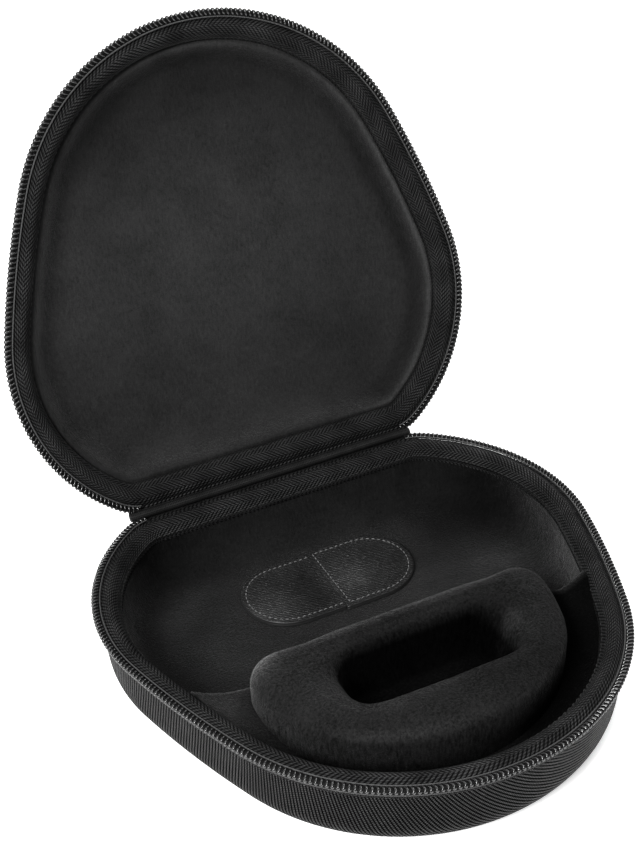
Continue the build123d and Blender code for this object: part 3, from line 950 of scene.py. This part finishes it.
# ---- the island ----
ISLAND_ARCS = ((74.0, 33.0), (49.0, 57.0), (10.0, 90.0))
ISLAND_FRONT = -104.0 - HINGE_Y
ISLAND_FOOT = -29.0
SIDE_BULGE = 1.5
ROUND_SHARE = 0.42  # the most of the way from the side to the pocket that either round may take
PUFF_CAP = 1.2
PUFF_FRAMES = 20
# spots of painted light and shade on the island, from its lit left corner and pocket end to its darker right and
# front
ISLAND_LIGHT_SPOTS = [
    (-59.0, -109.5, 6, 8, 1.8), (-50.0, -128.0, 14, 12, -0.12), (45.0, -125.0, 22, 22, -0.35),
    (0.0, -113.0, 45, 6.5, -0.35), (38.0, -131.0, 3, 5, 1.0), (24.0, -150.0, 30, 12, -0.48)]


def island_light_shade(local):
    """Painted light and shade of the island: bright on its left corner and along its back ridge, painted black
    down in the pocket where shade falls.
    """
    x, y, z = local.T
    outside = (np.abs(local[:, :2] - POCKET_MIDDLE) - POCKET_HALF).max(axis=1)
    inside = ramp(outside, 3.6, 0.6)
    # painted light on the pocket's right end wall
    lit_end_wall = np.exp(-(((x - 35.0) / 7.0) ** 2 + ((y + 131.0) / 12.0) ** 2)) * ramp(z, -11.0, -3.0)
    # painted shade: inside the pocket the velour goes nearly black below its lip, less so on the lit end wall
    pocket = 1 - inside * 0.97 * ramp(z, 2.8, -2.2) ** 0.8 * (1 - 0.75 * lit_end_wall)
    # painted shade: the island's sides darken towards the foot, more to the right
    low = ramp(-z, 2.0, 15.0) * (1 - inside)
    side = 1 - (0.55 + 0.4 * ramp(x, -20.0, 30.0)) * low
    # painted highlight along the front shoulder, fading to the right; the front face below it is painted a little
    # darker
    shoulder_highlight = 0.75 * (1 - 0.85 * ramp(x, -20.0, 20.0))
    side *= 1 + ramp(-y, 146.0, 158.0) * (shoulder_highlight * bell(z, -1.6, 1.7) - 0.2)
    # painted highlight along the back ridge, fading out at its ends
    ridge = 1 + 0.6 * bell(y, STEP_BACK - 3.0, 1.6) * ramp(np.abs(x), 60.0, 52.0)
    return patches(local, ISLAND_LIGHT_SPOTS) * np.clip(pocket, 0.12, 1) * np.clip(side, 0.03, 3) * ridge


def pocket_edge(points):
    """Nearest point of the pocket's rounded rectangle to each point outside it, and the way out from there."""
    local = points - POCKET_MIDDLE
    core = np.clip(local, -(POCKET_HALF - POCKET_CORNER), POCKET_HALF - POCKET_CORNER)
    away = local - core
    away /= np.linalg.norm(away, axis=1)[:, None]
    return POCKET_MIDDLE + core + POCKET_CORNER * away, away


def island():
    """Padded velour island: side, broad soft shoulder, crown, then rolled down into the pocket."""
    outer = outline(ISLAND_ARCS, ISLAND_FRONT, 1.3)[0] * (0.99, 1.0) - (0.9, 0.0)
    inner, away = pocket_edge(outer)
    gap = np.linalg.norm(outer - inner, axis=1)
    direction = (inner - outer) / gap[:, None]
    behind = ramp(outer[:, 1], ISLAND_FRONT + 0.35 * (STEP_BACK - ISLAND_FRONT), STEP_BACK) ** 1.5
    ends = np.abs(away[:, 0]) ** 2
    ahead = np.clip(-away[:, 1], 0, 1)
    shoulder = np.minimum(11.5 - 4.0 * behind, ROUND_SHARE * gap)
    roll = np.minimum(3.8 + 8.0 * ends - 1.9 * ahead, ROUND_SHARE * gap)
    crown = 1.2 + 2.7 * behind + 0.9 * ends
    lip = crown + 0.3 * ahead
    rows = []  # how far in from the foot's line, and the height
    for share in np.linspace(0, 1, 9):
        bulge = -SIDE_BULGE * math.sin(math.pi / 2 * share)
        rows.append((np.full(len(outer), bulge), ISLAND_FOOT + (crown - shoulder - ISLAND_FOOT) * share))
    for angle in np.linspace(0, math.pi / 2, 11)[1:]:
        rows.append((-SIDE_BULGE + (shoulder + SIDE_BULGE) * (1 - math.cos(angle)),
                     crown - shoulder * (1 - math.sin(angle))))
    for share in np.linspace(0, 1, 9)[1:-1]:
        swell = 0.45 * math.sin(math.pi * share)
        rows.append((shoulder + (gap - shoulder - roll) * share, crown + (lip - crown) * share + swell))
    lowest_roll = 0.06
    for angle in np.linspace(math.pi / 2, lowest_roll, 12):
        rows.append((gap - roll * (1 - math.cos(angle)), lip - roll * (1 - math.sin(angle))))
    low = lip - roll * (1 - math.sin(lowest_roll))
    for share in np.linspace(0, 1, 8)[1:]:
        rows.append((gap + 1.6 * share, low + (-POCKET_DEPTH - low) * share))
    rings = [at_height(outer + direction * offset[:, None], z) for offset, z in rows]
    bottom = rings[-1]
    middle = np.column_stack([np.clip(bottom[:, 0], -24, 24) * 0.96, np.full(len(bottom), POCKET_MIDDLE[1])])
    middle = at_height(middle, -POCKET_DEPTH - 0.3)
    rings += [bottom + (middle - bottom) * share for share in (0.06, 0.15, 0.3, 0.5, 0.7, 0.85)]
    count = len(outer)
    faces = grid(len(rings), count)
    last = (len(rings) - 1) * count
    for j in range(count // 2 - 1):  # the slit left in the floor, closed from side to side
        a, b = last + j, last + j + 1
        c, d = last + (count - j - 1) % count, last + (count - j) % count
        faces.append((a, b, c) if j == 0 else (a, b, c, d))
    return new_mesh("island_velour", to_world(np.vstack(rings)), faces)


def puff(piece, cap):
    """Swell a padded piece by cloth simulation, pinned at its lower parts, and keep each point within a cap."""
    rest = get_points(piece.data)
    group = piece.vertex_groups.new(name="pin")
    for index, z in enumerate((rest[:, 2] - HINGE[2]) / MM):
        group.add([index], float(ramp(-z, 10.0, 16.0)), "REPLACE")
    modifier = piece.modifiers.new("cloth", "CLOTH")
    for name, value in {
        "quality": 6, "mass": 0.25, "tension_stiffness": 12, "compression_stiffness": 12, "shear_stiffness": 6,
        "bending_stiffness": 0.6, "use_pressure": True, "uniform_pressure_force": 3.5,
        "vertex_group_mass": "pin",
    }.items():
        setattr(modifier.settings, name, value)
    modifier.settings.effector_weights.gravity = 0
    modifier.collision_settings.use_collision = False
    modifier.collision_settings.use_self_collision = False
    scene = bpy.context.scene
    for now in range(PUFF_FRAMES):
        scene.frame_set(now + 1)
    graph = bpy.context.evaluated_depsgraph_get()
    shift = get_points(piece.evaluated_get(graph).data) - rest
    piece.modifiers.clear()
    piece.vertex_groups.clear()
    scene.frame_set(1)
    size = np.linalg.norm(shift, axis=1)
    shift *= (np.minimum(size, cap * MM) / np.maximum(size, 1e-9))[:, None]
    piece.data.vertices.foreach_set("co", (rest + shift).ravel())
    piece.data.update()


# ---- the leather clip ----
CLIP_HALF = 38.3
CLIP_RADIUS = 19.4
CLIP_MIDDLE_Y = 18.3 - HINGE_Y
CLIP_BOTTOM = -28.6
CLIP_THICK = 2.4
# spots of painted light and shade on the leaves: highlights by the seam on the right leaf and at the left leaf's
# tip, shade along the seam and at the right end
CLIP_LIGHT_SPOTS = [
    (9.0, CLIP_MIDDLE_Y - 6.0, 9, 10, 1.1), (-29.0, CLIP_MIDDLE_Y - 9.0, 11, 9, 1.6),
    (-8.0, CLIP_MIDDLE_Y, 8, 16, -0.4), (28.0, CLIP_MIDDLE_Y + 4.0, 10, 12, -0.2)]
# inset and height of a leaf's section: back leather, sealed edge, face leather and the stitched groove
LEAF_SECTION = [
    (2.2, 0.0), (0.5, 0.0), (0.14, 0.16), (0.0, 0.6), (0.06, 1.1), (0.16, 1.2), (0.06, 1.3), (0.0, 1.9),
    (0.14, 2.26), (0.55, CLIP_THICK), (1.1, CLIP_THICK + 0.02), (1.8, CLIP_THICK - 0.12),
    (2.3, CLIP_THICK - 0.12), (3.0, CLIP_THICK + 0.05)]
EDGE_BANDS = 8  # bands of the section that are the sealed edge's
STRAIGHT_POINTS = 17
SEAM_POINTS = 30


def leaf_line(side, inset):
    """Outline of one leaf from the seam round the tip and back along the seam, inset from its edge."""
    radius = CLIP_RADIUS - inset + (0.5 if side > 0 else -0.35)
    straight = CLIP_HALF - CLIP_RADIUS
    start = (-0.25 if side > 0 else 0.15) + inset
    angles = np.linspace(-math.pi / 2, math.pi / 2, 45)
    tip = np.column_stack([straight + radius * np.cos(angles), radius * np.sin(angles)])
    along = np.linspace(start, straight, STRAIGHT_POINTS + 1)[:-1]
    low = at_height(along[:, None], -radius)
    high = at_height(along[::-1, None], radius)
    seam = np.column_stack([np.full(SEAM_POINTS, start), np.linspace(radius, -radius, SEAM_POINTS + 2)[1:-1]])
    return np.vstack([low, tip, high, seam]) * (side, 1) + (0, CLIP_MIDDLE_Y)


def on_leaf(plan, z):
    """Plan points at a height over the leaf's back, which is flat by the seam and curls up towards the tip."""
    x = np.abs(plan[:, 0]) / CLIP_HALF
    y = (plan[:, 1] - CLIP_MIDDLE_Y) / CLIP_RADIUS
    return at_height(plan, CLIP_BOTTOM + z + (0.1 + 0.55 * x ** 2.4 + 0.2 * y ** 2 * x))


def clip_leaf(name, side):
    """One leaf: two leathers with a sealed, rounded edge, a low cushion over the magnet, and its stitching."""
    rings = [on_leaf(leaf_line(side, inset), z) for inset, z in LEAF_SECTION]
    middle = np.array([[side * 19.0, CLIP_MIDDLE_Y]])
    top = leaf_line(side, LEAF_SECTION[-1][0])
    for share in (0.1, 0.22, 0.36, 0.5, 0.64, 0.78, 0.9):
        swell = 0.18 * math.sin(share * math.pi / 2)
        rings.append(on_leaf(top + (middle - top) * share, CLIP_THICK + 0.05 + swell))
    count = len(rings[0])
    faces = grid(len(rings), count)
    last = (len(rings) - 1) * count
    for j in range(count):
        k = (j + 1) % count
        faces.append((last + j, last + k, len(rings) * count))
        faces.append((k, j, len(rings) * count + 1))
    if side < 0:
        faces = [face[::-1] for face in faces]
    verts = np.vstack(rings + [on_leaf(middle, CLIP_THICK + 0.23), on_leaf(middle, 0.0)])
    piece = new_mesh(f"clip_leaf_{name}", to_world(verts), faces)
    body = f"clip_{name}"
    finish(piece, LEATHER, "leather", body, f"clip_{name}_face", f"clip_{name}_back")
    piece.data.materials.append(LEATHER_EDGE)
    slots = np.zeros(len(piece.data.polygons), int)
    slots[: EDGE_BANDS * count] = 1
    piece.data.polygons.foreach_set("material_index", slots)
    # paints the leaf's highlights and shade onto the mesh
    paint_light_shade(piece, "base", lambda local: patches(local, CLIP_LIGHT_SPOTS))
    line = leaf_line(side, 2.05)
    if side > 0:
        line = closed_up(line)
    else:
        low_end, high_end = [(0.6 * side, line[index][1]) for index in (0, -SEAM_POINTS - 1)]
        line = np.vstack([low_end, line[:-SEAM_POINTS], high_end])
    up = np.tile((0.0, 0.0, 1.0), (len(line), 1))
    path = to_world(on_leaf(line, CLIP_THICK - 0.12))
    finish(stitches(f"clip_{name}_stitching", path, up, 1.75, 0.65, 0.26, 0.1), GREY_THREAD, "leather", body)


# ---- the hinge ----
def hinge_strip():
    """One strip of fabric: hem on the base's back wall, round the bead, hem on the lid's back wall."""
    hem = 16.0
    edge = 4.2
    bead = 2.4
    half_width = 64.5
    taper = 7.0  # how much narrower, on each side, it is at its hems than in the middle
    walls = [(0.0, -(wall_inset(down) - 0.75), -down) for down in np.linspace(hem, edge, 12)]
    turn = [(bead * math.cos(a), bead * math.sin(a)) for a in np.radians(np.linspace(-100, -2, 12))]
    lid_side = (np.array(walls[::-1]) @ half_basis("lid"))[:, 1:]
    line = np.vstack([np.array(walls)[:, 1:], turn, lid_side])
    for _ in range(3):
        line[1:-1] = (line[:-2] + 2 * line[1:-1] + line[2:]) / 4
    across = 90
    centre = (len(line) - 1) / 2
    verts = []
    for i, (y, z) in enumerate(line):
        reach = half_width - taper * min(1.0, abs(i - centre) / centre * 1.25) ** 2
        verts += [(x, y, z) for x in np.linspace(-reach, reach, across)]
    piece = new_mesh("hinge_strip", to_world(verts), grid(len(line), across, closed=False))
    solidify(piece, 0.5, 0.0)
    apply_modifiers(piece)
    finish(piece, HINGE_CLOTH, "hinge_fabric", None, "hinge_flange_base", "hinge_flange_lid")
    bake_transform(piece)


def hinge_roll():
    """Rolled edge of the hinge fabric: a spiral of cloth whose end shows at both sides."""
    turns = np.linspace(0, 2 * math.pi * 3.0, 110)
    radius = 0.4 + 1.45 * (turns / turns[-1])
    spiral = np.column_stack([radius * np.cos(turns + 0.9), radius * np.sin(turns + 0.9)])
    xs = np.concatenate([[-68.0, -67.6], np.linspace(-66.5, 64.0, 60), [65.1, 65.5]])
    pinch = np.ones(len(xs))
    pinch[[0, -1]] = 0.95
    verts = np.vstack([np.column_stack([np.full(len(spiral), x), spiral * size]) for x, size in zip(xs, pinch)])
    piece = new_mesh("hinge_roll", to_world(verts), grid(len(xs), len(spiral), closed=False))
    solidify(piece, 0.42, 0.0)
    finish(piece, HINGE_CLOTH, "hinge_fabric", "base", "hinge_bead")


# ---- the zip's tail and slider ----
def tail_coils():
    """Meshed coils of the closed tail, and the two strands that part at the slider."""
    turn_width = 0.85
    turn_height = 1.35
    closed = 1.45  # how far each strand's middle lies from the tail's, where they mesh
    opening = 2.05  # how much further out it lies once they have parted
    parting = 8.0  # length over which they part
    low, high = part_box("zip_tail_coil")
    middle = (low + high) / 2
    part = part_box("slider_body")[1].x - 4.5 * MM
    start = low.x + 0.6 * MM
    turns = int((high.x - start) / (COIL_PITCH * MM))
    phase = np.linspace(0, 2 * math.pi * turns, turns * 14 + 1)
    strands = []
    for sign, shift in ((1, 0.5), (-1, 0.0)):
        x = start + (phase / (2 * math.pi) + shift) * COIL_PITCH * MM * 0.97
        offset = (closed + opening * ease(ramp(x, part, part + parting * MM))) * MM
        y = middle.y + turn_width * MM * np.sin(phase)
        z = middle.z + sign * (offset + turn_height * MM * np.cos(phase))
        strands.append(tube("part", np.column_stack([x, y, z])[x < high.x - 0.3 * MM], 0.42, 7))
    finish(join("tail_coils", strands), COIL, "zip_coil", "base", "zip_tail_coil")


def bevelled(node, material, slot, width):
    """A finer copy of a small CAD piece, its edges rounded, standing for the plain one."""
    piece = bpy.data.objects.new(f"{node}_rounded", frame["nodes"][node].data.copy())
    bpy.context.scene.collection.objects.link(piece)
    weld(piece, 0.005)
    modify(piece, "BEVEL", width=width * MM, segments=3, limit_method="ANGLE", angle_limit=math.radians(40))
    apply_modifiers(piece)
    piece.data.materials.clear()
    modify(piece, "WEIGHTED_NORMAL", keep_sharp=True)
    body = next(name for name, nodes in frame["record"]["behaviour"]["bodies"].items() if node in nodes)
    finish(piece, material, slot, body, node)


# ---- build ----
cover("base", BASE_DEPTH, BASE_CORNER)
cover("lid", LID_DEPTH, LID_CORNER)
for half in ("base", "lid"):
    zip_tape(half)
    zip_coil(half)
    sewing(half)
lining("base", BASE_WALL, base_height, base_light_shade, VELOUR_BASE, "base_lining", "base_tray")
lining("lid", LID_WALL, lid_height, lid_light_shade, VELOUR_LID, "lid_lining")

padded = island()
weld(padded, 0.05)
puff(padded, PUFF_CAP)
modify(padded, "SMOOTH", factor=0.5, iterations=3)
modify(padded, "SUBSURF", levels=1, render_levels=1)
# paints the island's light and shade onto the mesh
paint_light_shade(padded, "base", island_light_shade)
finish(padded, VELOUR_ISLAND, "velour", "base", "island_cover", "pocket_liner", "island_pad")

clip_leaf("left", -1)
clip_leaf("right", 1)
hinge_strip()
hinge_roll()
tail_coils()
bevelled("slider_body", ENAMEL, "slider_metal", 0.28)
bevelled("pull_link", ENAMEL, "slider_metal", 0.3)
bevelled("pull_tab", RUBBER, "pull_grip", 0.5)
bevelled("zip_bottom_stop", ENAMEL, "slider_metal", 0.3)
bevelled("zip_end_tab", HINGE_CLOTH, "hinge_fabric", 0.6)

# the CAD pieces that are shown as they are
CAD_MATERIALS = {
    "base_shell": EVA, "lid_shell": EVA, "lid_pad": FOAM, "base_zip_cord": BLACK_THREAD,
    "lid_zip_cord": BLACK_THREAD, "zip_tail_tape": TAPE, "clip_anchor": LEATHER_EDGE,
    "clip_left_magnet": NICKEL, "clip_right_magnet": NICKEL,
}
for node, material in CAD_MATERIALS.items():
    mesh = frame["nodes"][node].data
    mesh.materials.clear()
    mesh.materials.append(material)


# ---- studio ----
def sweep():
    """Paper floor, in metres, that curves up into the backdrop."""
    front = -3.6
    side = 4.5
    bend = 1.2
    radius = 0.8
    top = 3.2
    profile = [(front, 0.0), (bend, 0.0)]
    for angle in np.linspace(0, math.pi / 2, 24)[1:]:
        profile.append((bend + radius * math.sin(angle), radius - radius * math.cos(angle)))
    profile.append((bend + radius, top))
    verts = [(x, y, z) for y, z in profile for x in (-side, side)]
    faces = [(2 * i, 2 * i + 1, 2 * i + 3, 2 * i + 2) for i in range(len(profile) - 1)]
    piece = new_mesh("studio_sweep", verts, faces)
    piece.data.materials.append(paper())


def area_light(name, place, size, power):
    """Soft light, aimed at the middle of the case."""
    data = bpy.data.lights.new(name, "AREA")
    data.shape = "RECTANGLE"
    data.size, data.size_y = size
    data.energy = power
    light = bpy.data.objects.new(name, data)
    light.location = place
    middle = (Vector(cad_bounds[0]) + Vector(cad_bounds[1])) / 2
    light.rotation_euler = (middle - Vector(place)).to_track_quat("-Z", "Y").to_euler()
    bpy.context.scene.collection.objects.link(light)


def sky(light, seen):
    """White world with one strength as a light and another where the camera sees it."""
    world = bpy.data.worlds.new("studio_world")
    bpy.context.scene.world = world
    world.use_nodes = True
    background = world.node_tree.nodes["Background"]
    background.inputs[0].default_value = (1.0, 1.0, 1.0, 1.0)
    ray = world.node_tree.nodes.new("ShaderNodeLightPath")
    strength = world.node_tree.nodes.new("ShaderNodeMapRange")
    strength.inputs["To Min"].default_value = light
    strength.inputs["To Max"].default_value = seen
    world.node_tree.links.new(ray.outputs["Is Camera Ray"], strength.inputs["Value"])
    world.node_tree.links.new(strength.outputs[0], background.inputs[1])


def camera(target, distance, azimuth, elevation, roll, lens):
    """Camera that looks at a target, in metres, from an azimuth and elevation in degrees."""
    place = Matrix.Translation(target)
    for angle, axis in ((azimuth, "Z"), (90.0 - elevation, "X"), (roll, "Z")):
        place = place @ Matrix.Rotation(math.radians(angle), 4, axis)
    data = bpy.data.cameras.new("camera")
    data.lens = lens
    data.clip_start = 0.01
    made = bpy.data.objects.new("camera", data)
    made.matrix_world = place @ Matrix.Translation((0.0, 0.0, distance))
    bpy.context.scene.collection.objects.link(made)
    bpy.context.scene.camera = made


sweep()
area_light("key_front_left", (-0.80, -0.62, 0.85), size=(0.40, 0.40), power=24)
area_light("top", (0.0, -0.15, 1.5), size=(0.9, 0.7), power=14)
area_light("rim_right", (0.85, 0.45, 0.8), size=(0.5, 0.5), power=5)
sky(light=0.16, seen=0.77)
bpy.context.scene.view_settings.view_transform = "Standard"
camera(target=(0.0345, 0.0925, BASE_DEPTH * MM), distance=0.7044, azimuth=-25.0, elevation=33.57,
       roll=-2.5, lens=66.0)
